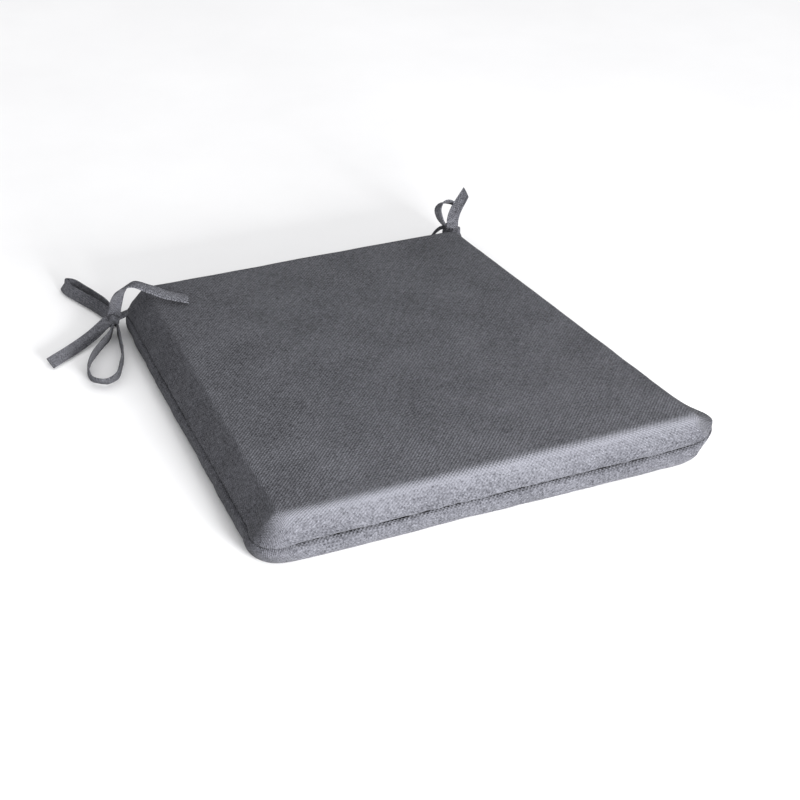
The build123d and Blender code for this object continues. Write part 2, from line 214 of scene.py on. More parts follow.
def woven(name, dark, light, thread, strength=0.75, sheen=0.05):
    """Plain-woven slub cloth. The UV map named cloth holds the cloth's own flat lengths in metres."""
    made, tree, shader = new_material(name, 0.9, sheen, gloss=0.12)
    uv = node(tree, "ShaderNodeUVMap", uv_map="cloth").outputs[0]
    across, along = 1.0 / thread, 0.22 / thread
    warp = grain(tree, scaled(tree, uv, (across, along, 1.0)), 1.0, 3.0, 0.6)
    weft = grain(tree, scaled(tree, uv, (along, across, 1.0)), 1.0, 3.0, 0.6)
    fibre = grain(tree, scaled(tree, uv, (0.9 * across, 0.9 * across, 1.0)), 1.0, 1.0)
    patch = grain(tree, scaled(tree, uv, (22.0, 22.0, 1.0)), 1.0, 3.0)
    split = node(tree, "ShaderNodeSeparateXYZ")
    tree.links.new(uv, split.inputs[0])
    turns = [maths(tree, "MULTIPLY", split.outputs[k], pi / thread) for k in (0, 1)]
    waves = [maths(tree, "SINE", turn, 0.0) for turn in turns]
    weave = maths(tree, "MULTIPLY", *waves)
    threads = maths(tree, "ADD", warp, weft)
    shade = maths(tree, "MULTIPLY_ADD", fibre, 0.9)
    tree.links.new(threads, shade.node.inputs[2])
    shade = maths(tree, "ADD", shade, maths(tree, "MULTIPLY", patch, 0.5))
    shade = maths(tree, "ADD", shade, maths(tree, "MULTIPLY", weave, 0.08))
    # A painted highlight: the colour is lightened along the front's rolled edge and down its face, fading
    # towards the seam.
    highlight_share = node(tree, "ShaderNodeAttribute", attribute_name="painted_highlight").outputs["Fac"]
    shade = maths(tree, "ADD", shade, maths(tree, "MULTIPLY", highlight_share, PAINTED_HIGHLIGHT_LIFT))
    between(tree, shader, spread(tree, shade, 1.3, 2.05), dark, light)
    tree.links.new(spread(tree, fibre, 0.0, 1.0, 0.8, 1.0), shader.inputs["Roughness"])
    height = maths(tree, "ADD", maths(tree, "MULTIPLY", weave, 0.5), threads)
    relief(tree, shader, height, strength, 0.0012)
    return made


def mottled(name, dark, light, scale, roughness, metallic=0.0, strength=0.2, stretch=(1, 1, 1)):
    """A surface mottled in its object's own space, for foam, thread, tape, nylon and metal."""
    made, tree, shader = new_material(name, roughness, metallic=metallic)
    place = node(tree, "ShaderNodeTexCoord").outputs["Object"]
    spots = grain(tree, scaled(tree, place, stretch), scale, 4.0, 0.6)
    between(tree, shader, spread(tree, spots, 0.3, 0.7), dark, light)
    rough = spread(tree, spots, 0.2, 0.8, 0.8 * roughness, min(1.0, 1.2 * roughness))
    tree.links.new(rough, shader.inputs["Roughness"])
    relief(tree, shader, spots, strength, 0.0002)
    return made


COVER = woven("cover_cloth", (0.0215, 0.0218, 0.0264), (0.101, 0.1025, 0.1165), thread=0.0016, strength=0.65)
STRAP = woven("strap_weave", (0.030, 0.0304, 0.0360), (0.158, 0.160, 0.180), thread=0.0012)
FOAM = mottled("foam_cells", (0.62, 0.58, 0.42), (0.82, 0.79, 0.66), 900, 0.95, strength=0.8)
THREAD = mottled("sewing_thread", (0.035, 0.035, 0.04), (0.11, 0.11, 0.125), 2500, 0.6, strength=0.5)
TAPE = mottled("zip_tape", (0.02, 0.02, 0.025), (0.07, 0.07, 0.08), 700, 0.9, strength=0.7, stretch=(1, 1, 3))
COIL = mottled("zip_coil_nylon", (0.02, 0.02, 0.025), (0.05, 0.05, 0.055), 400, 0.35)
METAL = mottled("zip_plated_metal", (0.17, 0.17, 0.18), (0.32, 0.32, 0.34), 700, 0.35, metallic=1.0)
FLOOR = mottled("pale_floor", (0.86, 0.86, 0.87), (0.90, 0.90, 0.91), 4, 0.9, strength=0.0)


# --- Meshes --------------------------------------------------------------------------------------


def add_mesh(name, points, faces, material, uv=None):
    """A smooth mesh from points in millimetres. uv gives each point's place on the flat cloth."""
    mesh = bpy.data.meshes.new(name)
    mesh.from_pydata((np.asarray(points, float) * MM).tolist(), [], faces)
    if uv is not None:
        layer = mesh.uv_layers.new(name="cloth")
        corners = np.empty(len(mesh.loops), int)
        mesh.loops.foreach_get("vertex_index", corners)
        layer.data.foreach_set("uv", (np.asarray(uv, float)[corners] * MM).ravel())
    mesh.materials.append(material)
    mesh.polygons.foreach_set("use_smooth", [True] * len(mesh.polygons))
    mesh.update()
    made = bpy.data.objects.new(name, mesh)
    bpy.context.collection.objects.link(made)
    return made


def positions(mesh):
    """A mesh's points in millimetres."""
    flat = np.empty(3 * len(mesh.vertices))
    mesh.vertices.foreach_get("co", flat)
    return flat.reshape(-1, 3) / MM


def place(mesh, points):
    """Moves a mesh's points, given in millimetres."""
    mesh.vertices.foreach_set("co", (points * MM).ravel())
    mesh.update()


def evaluated(piece):
    """A new mesh of the piece with its modifiers applied."""
    graph = bpy.context.evaluated_depsgraph_get()
    return bpy.data.meshes.new_from_object(
        piece.evaluated_get(graph), preserve_all_data_layers=True, depsgraph=graph
    )


def bake_modifiers(piece):
    """Applies the piece's modifiers to its mesh."""
    made = evaluated(piece)
    piece.modifiers.clear()
    piece.data = made


def smoothstep(x):
    """0 below 0, 1 above 1 and a smooth rise between."""
    x = np.clip(x, 0.0, 1.0)
    return x * x * (3 - 2 * x)


def band_faces(lower, upper, count):
    """Quads between two rings of count points, named by their first points, facing outwards."""
    turn = [(j, (j + 1) % count) for j in range(count)]
    return [(lower + a, lower + b, upper + b, upper + a) for a, b in turn]


# --- The pad's covers and foam -------------------------------------------------------------------


def half_width(y):
    """Half of the seam's width at a distance y back from the middle."""
    return FRONT_HALF + (BACK_HALF - FRONT_HALF) * (y + DEPTH_HALF) / (2 * DEPTH_HALF)


def outline(side_inset, end_inset, radius):
    """AROUND points and outward directions round the tapered plan, from the front left corner's middle."""
    y = DEPTH_HALF - end_inset
    front, back = half_width(-y) - side_inset, half_width(y) - side_inset
    corners = [Vector(c) for c in ((-front, -y), (front, -y), (back, y), (-back, y))]
    ways = [(corners[(k + 1) % 4] - corners[k]).normalized() for k in range(4)]
    outs = [Vector((way.y, -way.x)) for way in ways]
    centres = []
    for k in range(4):
        n1, n2 = outs[k - 1], outs[k]
        centres.append(corners[k] - (n1 + n2) * radius / (1 + n1.dot(n2)))
    share = CORNER_STEPS / STEPS
    stages = np.interp(np.arange(STEPS) / STEPS, (0, share, 1 - share, 1), (0, 1, 2, 3))
    points, normals = [], []
    for k in range(4):
        here, after = centres[k], centres[(k + 1) % 4]
        first = (outs[k - 1] + outs[k]).normalized()
        last = (outs[k] + outs[(k + 1) % 4]).normalized()
        for stage in stages:
            turn = outs[k]
            if stage < 1:
                turn = first.slerp(turn, stage)
            elif stage > 2:
                turn = turn.slerp(last, stage - 2)
            points.append(here.lerp(after, min(max(stage - 1, 0), 1)) + turn * radius)
            normals.append(turn)
    return np.array(points), np.array(normals)


def ring(side_inset, end_inset, height, proud=0.0, radius=None):
    """One ring of the pad's side as points in space, moved out along its own normals by proud."""
    if radius is None:
        radius = np.interp(side_inset + end_inset, RADIUS_INSETS, RADII)
    flat, normals = outline(side_inset, end_inset, radius)
    flat = flat + normals * np.reshape(proud, (-1, 1))
    return np.column_stack((flat, np.broadcast_to(height, AROUND)))


def perimeter():
    """Each ring point's distance along the seam, the seam's length and each corner's distance."""
    flat, _ = outline(0, 0, SEAM_RADIUS)
    gaps = np.linalg.norm(np.roll(flat, -1, axis=0) - flat, axis=1)
    along = np.concatenate(([0], np.cumsum(gaps)))
    return along[:-1], along[-1], along[:-1][::STEPS]


ALONG, SEAM_LENGTH, CORNERS = perimeter()


def ring_depth():
    """Each ring point's place from front to back."""
    return outline(0, 0, SEAM_RADIUS)[0][:, 1]


def near_corner(corner, reach, shift=0.0):
    """1 at a corner, falling smoothly to 0 at a distance along the seam. Shift moves the peak along it."""
    away = (ALONG - CORNERS[corner] - shift + SEAM_LENGTH / 2) % SEAM_LENGTH - SEAM_LENGTH / 2
    return smoothstep(1 - np.abs(away) / reach)


def waves(parts):
    """A sum of sines round the seam, each a whole number of turns with a size and a shift."""
    return sum(size * np.sin(2 * pi * (turns * ALONG / SEAM_LENGTH + shift)) for turns, size, shift in parts)


# The cover stands out where four thicknesses of seam meet at each corner: the front left, the front
# right, the back right and the back left.
EAR_SIZES = (5.0, 2.0, 3.5, 0.8)
EAR_REACH = (34.0, 46.0, 30.0, 34.0)
EAR_SHIFT = (0.0, 22.0, 0.0, 0.0)
EARS = sum(EAR_SIZES[k] * near_corner(k, EAR_REACH[k], EAR_SHIFT[k]) for k in range(4))
# The seam rises to the front right corner, where the bottom panel is tucked under, and to the front.
CORNER_LIFT = 6.5 * near_corner(1, 52.0, 14.0) + 1.0 * near_corner(0, 40.0)
TUCK = 1 - 0.9 * near_corner(1, 46.0, 14.0)
# At the front right the cloth creases at the corner and puffs out just behind it.
PUFF = 6.5 * near_corner(1, 28.0, 26.0) - 2.0 * near_corner(1, 18.0, 1.0)
FRONT_RISE = 2.2 * smoothstep((60.0 - ring_depth()) / 160.0)
# The cloth wavers along the seam, in long waves and short ones.
SLOW = waves(((5, 0.5, 0.13), (9, 0.4, 0.71), (14, 0.35, 0.32)))
QUICK = waves(((23, 0.30, 0.37), (37, 0.24, 0.52), (61, 0.16, 0.11)))


def zip_side(x, y):
    """1 along the zip and its pull's path at the back, falling to 0 past them."""
    return smoothstep((158.0 - np.abs(x)) / 12) * smoothstep((y - 186.0) / 8)


# The bottom panel lies close along the zip, clear of the pull, and by the left bow, where the front
# loop still grazes it when the bow is folded.
CALM = (1 - zip_side(*outline(0, 0, SEAM_RADIUS)[0].T)) * (1 - near_corner(3, 64.0))


def wall(height):
    """The insets of the sloping wall at a height above the seam."""
    share = (height - SEAM_Z) / (EDGE_Z - SEAM_Z)
    return SIDE_INSET * share, END_INSET * share


def upper_rings():
    """The top panel's rings from the seam up, and over the rolled edge to the flat top."""
    rings = []
    # Each ring's height, how far it stands out, and its share of the corners' ears.
    for height, proud, ear in (
        (SEAM_Z, -2.4, 1.0), (15.5, -1.3, 1.0), (16.5, -0.4, 0.95), (17.8, 0.0, 0.85),
        (WINDOW_HIGH, 0.1, 0.72), (21.5, 0.1, 0.55), (23.7, 0.0, 0.4), (26.0, 0.0, 0.27),
        (28.3, 0.0, 0.16), (30.4, 0.0, 0.08), (32.2, 0.0, 0.03),
    ):
        loose = min(1.0, (height - SEAM_Z) / 6) * smoothstep((35.0 - height) / 9)
        raised = height + ear * CORNER_LIFT + FRONT_RISE * smoothstep((EDGE_Z - height) / (EDGE_Z - SEAM_Z))
        puffed = smoothstep((height - 13.5) / 9) * smoothstep((35.5 - height) / 12)
        out = proud + ear * EARS + puffed * PUFF + loose * (0.7 * SLOW + QUICK)
        rings.append(ring(*wall(height), raised, out))
    below = ring(*wall(34.6), 34.6)
    corner = ring(SIDE_INSET, END_INSET, EDGE_Z + 0.25 * SLOW)
    inside = ring(SIDE_INSET + 3.6, END_INSET + 4.4, EDGE_Z + RIM_RISE + 0.25 * SLOW)
    for step in range(ROLL_STEPS + 1):
        t = step / ROLL_STEPS
        rings.append((1 - t) ** 2 * below + 2 * t * (1 - t) * corner + t ** 2 * inside)
    return rings


def lower_rings():
    """The bottom panel's rings from just under the seam down, and under to the flat base."""
    rings = []
    # Each ring's inset, its height, how far it stands out, and its share of the corners' ears.
    for inset, height, proud, ear in (
        (0.0, 14.6, -0.9, 1.0), (0.0, 13.8, 0.8, 0.95), (0.0, 12.4, 1.7, 0.85),
        (0.0, WINDOW_LOW, 2.0, 0.7), (0.0, 8.4, 1.9, 0.55), (0.0, 6.2, 1.6, 0.4),
        (0.3, 4.2, 1.2, 0.25), (1.0, 2.5, 0.8, 0.1), (2.4, 1.2, 0.3, 0.0), (4.6, 0.4, 0.0, 0.0),
        (8.5, 0.0, 0.0, 0.0),
    ):
        lift = (1.7 - 0.7 * ear) * CORNER_LIFT + FRONT_RISE * height / SEAM_Z
        raised = height + lift + 0.25 * (1 - height / SEAM_Z) * np.abs(QUICK + SLOW)
        out = CALM * (proud * TUCK + 0.5 * SLOW + 0.6 * QUICK) + ear * EARS - 12.0 * (1 - ear) * (1 - TUCK)
        rings.append(ring(inset, inset, raised, out))
    return rings


def flat_rings(rim, height):
    """Square rings from a rim in to its middle. height(share) gives each one's height above the rim."""
    middle = rim.mean(axis=0)
    rings = []
    for k in range(GRID - 1, 0, -1):
        at = np.arange(8 * k) / (8 * k) * AROUND
        low = at.astype(int)
        part = (at - low)[:, None]
        on_rim = rim[low % AROUND] * (1 - part) + rim[(low + 1) % AROUND] * part
        inner = middle + (on_rim - middle) * (k / GRID)
        inner[:, 2] = on_rim[:, 2] + (middle[2] - on_rim[:, 2]) * (1 - (k / GRID) ** 8) + height(k / GRID)
        rings.append(inner)
    centre = middle.copy()
    centre[2] += height(0.0)
    rings.append(centre[None])
    return rings


def flat_faces(starts, facing):
    """Quads between shrinking square rings, named by their first points. facing is 1 up or -1 down."""
    faces = []
    for k, (start, inside) in enumerate(zip(starts, starts[1:])):
        side_out, side_in = 2 * (GRID - k), 2 * (GRID - k - 1)
        for side in range(4):
            first = side * side_out
            before = (first - 1) % (4 * side_out)
            corner = inside + (side * side_in if side_in else 0)
            faces.append((start + before, start + first, start + first + 1, corner)[::facing])
            for j in range(1, side_out - 1):
                d = inside + (side * side_in + j) % (4 * side_in)
                c = inside + side * side_in + j - 1
                faces.append((start + first + j, start + first + j + 1, d, c)[::facing])
    return faces


def closed_slab(top, sides, base):
    """A closed form from the top's square rings, side rings from top to base and the base's square rings.

    Gives its points, its faces, the first point of each ring from the top's middle on, and the rim's ring.
    """
    blocks = top[::-1] + sides + base
    starts = np.concatenate(([0], np.cumsum([len(block) for block in blocks]))).tolist()
    n = len(top)
    faces = flat_faces(starts[:n + 1][::-1], 1)
    for k in range(len(sides) - 1):
        faces += band_faces(starts[n + k + 1], starts[n + k], AROUND)
    faces += flat_faces(starts[n + len(sides) - 1:-1], -1)
    return np.vstack(blocks), faces, starts, n


def cover_uv(points, starts, first_side, last_side):
    """Each point's place on the flat cloth: the plan inside the top's rim, and down the side from it."""
    uv = points[:, :2].copy()
    flat, normals = outline(SIDE_INSET, END_INSET, SEAM_RADIUS / 2)
    down = np.zeros(AROUND)
    for k in range(first_side + 1, last_side + 1):
        here = points[starts[k]:starts[k] + AROUND]
        above = points[starts[k - 1]:starts[k - 1] + AROUND]
        down = down + np.linalg.norm(here - above, axis=1)
        rim = points[starts[first_side]:starts[first_side] + AROUND, :2]
        uv[starts[k]:starts[k] + AROUND] = rim + normals * down[:, None]
    return uv


def crown(share):
    """How far the top stands above its rim, from the middle at share 0 to the rim at share 1."""
    return (CROWN_Z - EDGE_Z - RIM_RISE) * float(smoothstep((1 - share) * 2.6))


def no_rise(share):
    """The height of a flat panel above its rim."""
    return 0.0


def swell(piece, held):
    """Blows the piece up with the cloth simulation. held is each point's hold, from 0 free to 1 fixed."""
    start = positions(piece.data)
    group = piece.vertex_groups.new(name="held")
    for level in np.unique(np.round(held, 1)):
        where = np.flatnonzero(np.round(held, 1) == level).tolist()
        group.add(where, float(level), "REPLACE")
    cloth = piece.modifiers.new("Cloth", "CLOTH")
    how = cloth.settings
    how.quality = 4
    how.mass = CLOTH_MASS
    how.tension_stiffness = how.compression_stiffness = CLOTH_STIFFNESS
    how.bending_stiffness = CLOTH_BENDING
    how.use_pressure = True
    how.uniform_pressure_force = PRESSURE
    how.shrink_min = -SLACK
    how.effector_weights.gravity = 0
    how.vertex_group_mass = "held"
    cloth.point_cache.frame_start = 1
    cloth.point_cache.frame_end = SIM_FRAMES
    for step in range(1, SIM_FRAMES + 1):
        bpy.context.scene.frame_set(step)
    made = evaluated(piece)
    moved = positions(made) - start
    bpy.data.meshes.remove(made)
    piece.modifiers.clear()
    piece.vertex_groups.clear()
    bpy.context.scene.frame_set(1)
    reach = np.linalg.norm(moved, axis=1)[:, None]
    limit = SIM_CAP * (1 - held)[:, None] + 1e-6
    # A soft limit: small moves stay as they are, and large ones come near the cap.
    place(piece.data, start + moved * limit * np.tanh(reach / limit) / np.maximum(reach, 1e-6))


def hold(points, starts, rim):
    """How firmly the simulation holds each point: the base, the seam, the flat top and the zip hold most."""
    height = points[:, 2]
    held = np.maximum(smoothstep((8.0 - height) / 5.0), np.exp(-(((height - SEAM_Z) / 3.0) ** 2)))
    loosening = starts[rim - LOOSENING_RINGS]
    held[:loosening] = 1.0
    held[loosening:starts[rim]] = np.linspace(1.0, RIM_HOLD, starts[rim] - loosening)
    held[starts[rim]:starts[rim + ROLL_STEPS]] = ROLL_HOLD
    flat_zip = zip_side(points[:, 0], points[:, 1]) * (height < ZIP_HOLD_TOP)
    return np.clip(np.maximum(held, flat_zip), 0, 1)


def make_covers():
    """The top and bottom covers as one form, swollen, then parted at the seam and opened for the zip."""
    upper = upper_rings()
    sides = upper[::-1] + lower_rings()
    top = flat_rings(sides[0], crown)
    base = flat_rings(sides[-1], no_rise)
    points, faces, starts, rim = closed_slab(top, sides, base)
    seam = rim + len(upper) - 1
    base_rim = rim + len(sides) - 1
    uv = cover_uv(points, starts, rim, base_rim)
    uv[starts[base_rim + 1]:] += BASE_CLOTH_AWAY
    whole = add_mesh("covers", points, faces, COVER, uv)
    swell(whole, hold(points, starts, rim))
    points = positions(whole.data)
    cut = (np.abs(points[:, 0]) < WINDOW_HALF) & (points[:, 1] > 0)
    cut[:starts[seam - WINDOW_RINGS]] = False
    cut[starts[seam + WINDOW_RINGS + 1]:] = False
    pieces = []
    for name, wanted in (("top_cover_cloth", True), ("bottom_cover_cloth", False)):
        kept = []
        for face in faces:
            above = max(face) < starts[seam + 1]
            if above == wanted and not all(cut[v] for v in face):
                kept.append(face)
        used = np.unique(np.array(kept).ravel())
        index = np.full(len(points), -1)
        index[used] = np.arange(len(used))
        pieces.append(add_mesh(name, points[used], index[np.array(kept)].tolist(), COVER, uv[used]))
    bpy.data.objects.remove(whole)
    for piece in pieces:
        piece.modifiers.new("Finer", "SUBSURF").levels = 1
        bake_modifiers(piece)
        pucker(piece)
        painted_highlight(piece)
        shell = piece.modifiers.new("Cloth thickness", "SOLIDIFY")
        shell.thickness = CLOTH * MM
        shell.offset = -1
        bake_modifiers(piece)
    return pieces


def painted_highlight(piece):
    """Paints a highlight into the cover's colour: lightest along the front's rolled edge, fading down to the
    seam.
    """
    points = positions(piece.data)
    x, y, z = points.T
    front = smoothstep((-(y + PAINTED_HIGHLIGHT_FROM)) / 7.0) * smoothstep((half_width(y) - np.abs(x) - 4.0) / 14.0)
    edge = np.exp(-(((z - PAINTED_HIGHLIGHT_HEIGHT) / PAINTED_HIGHLIGHT_SPREAD) ** 2))
    fade = smoothstep((z - SEAM_Z - 2) / 22.0)
    painted = piece.data.attributes.new("painted_highlight", "FLOAT", "POINT")
    painted.data.foreach_set("value", (front * (0.55 * edge + 0.45 * fade)).astype(np.float32))


def pucker(piece):
    """Small gathers beside the seam and a slight unevenness all over, along each point's own normal."""
    points = positions(piece.data)
    normals = np.array([v.normal for v in piece.data.vertices])
    gap = np.abs(points[:, 2] - SEAM_Z)
    beside = np.exp(-(((gap - PUCKER_AWAY) / PUCKER_REACH) ** 2))
    sizes = []
    for x, y, z in points.tolist():
        fine = noise.noise(Vector((x, y, 0.35 * z)) * 0.16)
        broad = noise.noise(Vector((x, y, z)) * 0.045 + Vector((7.0, 3.0, 1.0)))
        sizes.append((fine, broad))
    fine, broad = np.array(sizes).T
    rise = PUCKER_SIZE * beside * fine + UNEVEN_SIZE * broad * smoothstep(points[:, 2] / 6)
    place(piece.data, points + normals * rise[:, None])


def make_foam():
    """The foam block: the pad's own form, a gap inside the cloth, with a softly rounded top edge.

    Its base is flat. It doesn't follow CORNER_LIFT, so at the front right corner it stands out through the
    raised bottom panel by up to 7 mm.
    """
    insets = (SIDE_INSET + FOAM_GAP, END_INSET + FOAM_GAP)
    low = ring(*insets, 1.4)
    high = ring(*insets, 34.0)
    corner = ring(*insets, EDGE_Z - 1.6)
    rim = ring(insets[0] + 4, insets[1] + 4, EDGE_Z - FOAM_TOP_GAP)
    sides = [(1 - t) ** 2 * rim + 2 * t * (1 - t) * corner + t ** 2 * high for t in np.linspace(0, 1, 5)]
    sides.append(low)
    points, faces, _, _ = closed_slab(flat_rings(rim, crown), sides, flat_rings(low, no_rise))
    return add_mesh("foam_block", points, faces, FOAM)


top_cover, bottom_cover = make_covers()
foam = make_foam()

for piece, cad, fill, finish in (
    (top_cover, "top_cover", 0.85, "cover_cloth"),
    (bottom_cover, "bottom_cover", 0.85, "cover_cloth"),
    (foam, "foam_core", 1.0, "foam"),
):
    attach(piece, "pad")
    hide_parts(cad)


# --- The ties ------------------------------------------------------------------------------------


# The pairs of points that each stage of smooth_line's curve runs between.
SPANS = (((0, 1), (1, 2), (2, 3)), ((0, 2), (1, 3)), ((1, 2),))


def smooth_line(rows, step):
    """Rows about one step apart on a smooth curve through the given ones. A row starts with its point."""
    rows = np.asarray(rows, float)
    rows = np.vstack((2 * rows[0] - rows[1], rows, 2 * rows[-1] - rows[-2]))
    made = []
    for four in zip(rows, rows[1:], rows[2:], rows[3:]):
        gaps = [np.sqrt(np.linalg.norm(b[:3] - a[:3])) for a, b in zip(four, four[1:])]
        at = np.concatenate(([0], np.cumsum(gaps)))
        count = max(2, round(gaps[1] ** 2 / step))
        for t in np.linspace(at[1], at[2], count, endpoint=False):
            stage = four
            for spans in SPANS:
                stage = [
                    ((at[q] - t) * a + (t - at[p]) * b) / (at[q] - at[p])
                    for (p, q), a, b in zip(spans, stage, stage[1:])
                ]
            made.append(stage[0])
    made.append(rows[-2])
    return np.array(made)


def unit(v):
    """The vector, or each row of vectors, made one long."""
    return v / np.linalg.norm(v, axis=-1, keepdims=True)


# Half of the strip's section, as (across, out) from one folded edge to the other. A row of stitches
# presses a groove beside each edge.
HALF_SECTION = (
    (-5.5, 0.0), (-5.38, 0.42), (-5.0, 0.78), (-4.5, 0.86), (-4.05, 0.62), (-3.6, 0.86), (-2.0, 0.9),
    (0.0, 0.92),
    (2.0, 0.9), (3.6, 0.86), (4.05, 0.62), (4.5, 0.86), (5.0, 0.78), (5.38, 0.42), (5.5, 0.0),
)
SECTION_THICKNESS = 1.84


def ribbon(name, line, widths, cut=0.0, curl=0.0):
    """A folded strip along a line. widths is the direction of its width at each of the line's points.

    cut slants its far end, and curl bows it across its width.
    """
    if np.ndim(widths) == 1:
        widths = [widths] * len(line)
    rows = smooth_line(np.hstack((line, widths)), STRAP_STEP)
    spine = rows[:, :3]
    tangent = unit(np.gradient(spine, axis=0))
    width = unit(rows[:, 3:] - tangent * np.sum(rows[:, 3:] * tangent, axis=1)[:, None])
    out = np.cross(tangent, width)
    along = np.concatenate(([0], np.cumsum(np.linalg.norm(np.diff(spine, axis=0), axis=1))))
    half = np.array(HALF_SECTION)
    across = np.concatenate((half[:, 0], half[-2:0:-1, 0]))
    height = np.concatenate((half[:, 1], -half[-2:0:-1, 1])) * STRAP_THICKNESS / SECTION_THICKNESS
    count = len(across)
    points, uv = [], []
    last = len(spine) - 1
    for k in range(len(spine)):
        flat = 0.45 if k in (0, last) else 1.0
        rough = 0.22 * noise.noise(Vector((0.09 * along[k], len(name), 0.0)))
        for a, h in zip(across, height):
            slant = cut * a * smoothstep(1 - (along[-1] - along[k]) / 9)
            bow = curl * (1 - (a / STRAP_HALF) ** 2) + rough * (a / STRAP_HALF)
            ripple = 0.12 * noise.noise(Vector((0.35 * along[k], 0.35 * a, len(name))))
            points.append(spine[k] + width[k] * a + tangent[k] * slant + out[k] * (flat * h + bow + ripple))
            uv.append((a + 40 * len(name), along[k] + 7 * len(name)))
    faces = []
    for k in range(last):
        faces += band_faces(k * count, (k + 1) * count, count)
    for base, facing in ((0, 1), (last * count, -1)):
        for j in range(1, len(half) - 2):
            faces.append((base + j, base + j + 1, base + count - j - 1, base + count - j)[::facing])
        faces.append((base, base + 1, base + count - 1)[::facing])
        middle = len(half) - 1
        faces.append((base + middle - 1, base + middle, base + middle + 1)[::facing])
    made = add_mesh(name, points, faces, STRAP, uv)
    return made, along[-1]


def lay(piece, body, cad):
    """Attaches a finished strip to its body, if it has one, and hides the CAD node it stands for."""
    if body:
        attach(piece, body)
    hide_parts(cad)


def in_plane(origin, sideways, upward, line, off=0.0):
    """Points of a line drawn in a plane, moved off the plane by a distance."""
    sideways, upward = np.array(sideways, float), np.array(upward, float)
    normal = np.cross(sideways, upward)
    return [np.array(origin) + s * sideways + u * upward + off * normal for s, u in line]


UP = np.array((0.0, 0.0, 1.0))
LEFT_KNOT = np.array((-182.0, 185.0, 12.5))
LEFT_TANGENT = unit(np.array((0.37, 0.93, 0.0)))
LEFT_ROOT = np.array((-172.5, 184.9, 15.0))
RIGHT_KNOT = np.array((163.0, 201.0, 30.0))
RIGHT_TANGENT = unit(np.array((1.0, -1.0, 0.0)))
RIGHT_ROOT = np.array((166.9, 194.0, 15.5))
MIDDLE_Z = 6.1

back_loop = [
    (-183, 190), (-181, 205), (-186, 225), (-194, 247), (-200, 266),
    (-199, 275), (-193, 272), (-186, 257), (-180, 238), (-176, 220), (-177, 204), (-179, 190),
]
front_loop = [
    (-185, 181), (-191, 170), (-206, 153), (-220, 135), (-228, 117), (-228, 102), (-220, 95),
    (-209, 100), (-199, 117), (-192, 133), (-188, 149), (-184, 166), (-181, 180),
]
lean = unit(np.array((0.12, -0.08, 1.0)))
bottom_lean = unit(np.array((-0.35, -0.75, 1.0)))
back_lean = unit(np.array((0.75, 0.1, 1.0)))
back_widths = [unit(UP + 0.2 * back_lean)] + [back_lean] * 5 + [unit(UP + back_lean)] + [UP] * 5
front_widths = [lean] * 4 + [unit(lean + bottom_lean)] + [bottom_lean] * 3
front_widths += [unit(UP + bottom_lean)] + [UP] * 4

outer_way = unit(np.array((-0.85, -0.53, 0.0)))
outer_side = np.array((-outer_way[1], outer_way[0], 0.0)) * -1
outer_tail = in_plane((-182, 188, 0), outer_way, UP, [(3, 13), (12, 11.0), (28, 7.2), (50, 5.2), (84, 4.8)])
outer_widths = [unit(outer_side + w * UP) for w in (0.1, 0.25, 0.5, 0.6, 0.6)]

inner_way = unit(np.array((0.77, -0.64, 0.0)))
inner_side = np.array((-inner_way[1], inner_way[0], 0.0))
inner_line = [(0, 15), (2, 27), (7, 40), (18, 49.5), (34, 47.5), (50, 44.2), (70, 43.4)]
inner_tail = in_plane((-182, 185, 0), inner_way, UP, inner_line)
inner_turns = [(0.9, -0.44, 0), (0.9, -0.3, 0), (0.8, 0.3, -0.1), (0.6, 0.8, 0)]
inner_turns += [inner_side + 0.15 * UP] * 3
inner_widths = [unit(np.array(turn)) for turn in inner_turns]

BOW_TURN = radians(-27.4)
BOW_LEAN = radians(20.0)
sideways = np.array((cos(BOW_TURN), sin(BOW_TURN), 0.0))
outward = np.array((-sideways[1], sideways[0], 0.0))
upward = outward * sin(BOW_LEAN) + UP * cos(BOW_LEAN)
bow_normal = np.cross(sideways, upward)
upper_tail = in_plane(RIGHT_KNOT, sideways, upward, [(-1.5, 2), (-1.3, 11), (1.2, 20), (10, 37)], 7.0)
tail_widths = [sideways, sideways, unit(sideways + 0.3 * bow_normal), unit(sideways + 0.75 * bow_normal)]
upper_loop = in_plane(
    RIGHT_KNOT, sideways, upward,
    [(-5, 1), (-9.5, 5), (-14, 12), (-15.5, 19), (-11.5, 25), (-4.5, 26.5), (1, 23), (2.5, 15), (2, 3)],
)
loop_turns = (
    (0.3, 0), (0.4, 0), (0.65, 0), (0.65, 0.1), (0.4, 0.3), (0.1, 0.4), (0.3, 0.2), (0.2, 0), (0, 0),
)
loop_widths = [unit(bow_normal + s * sideways + u * upward) for s, u in loop_turns]
lower_tail = in_plane(
    RIGHT_KNOT, sideways, upward, [(-7, 0), (-11, 0.5), (-16, -3), (-21, -10), (-25, -19)], -11.6
)
drop_way = unit(np.array((0.35, 0.94, 0.0)))
drop_side = unit(np.array((0.94, -0.35, 0.0)))
lower_loop = in_plane(
    (163, 201, 0), drop_way, UP,
    [(8, 31), (17, 28), (29, 20), (37, 9), (33, 4), (24, 7), (16, 15), (10, 24)],
)

back_line = [(*point, MIDDLE_Z) for point in back_loop]
front_line = [(*point, MIDDLE_Z) for point in front_loop]
lower_width = unit(bow_normal + 0.35 * upward)

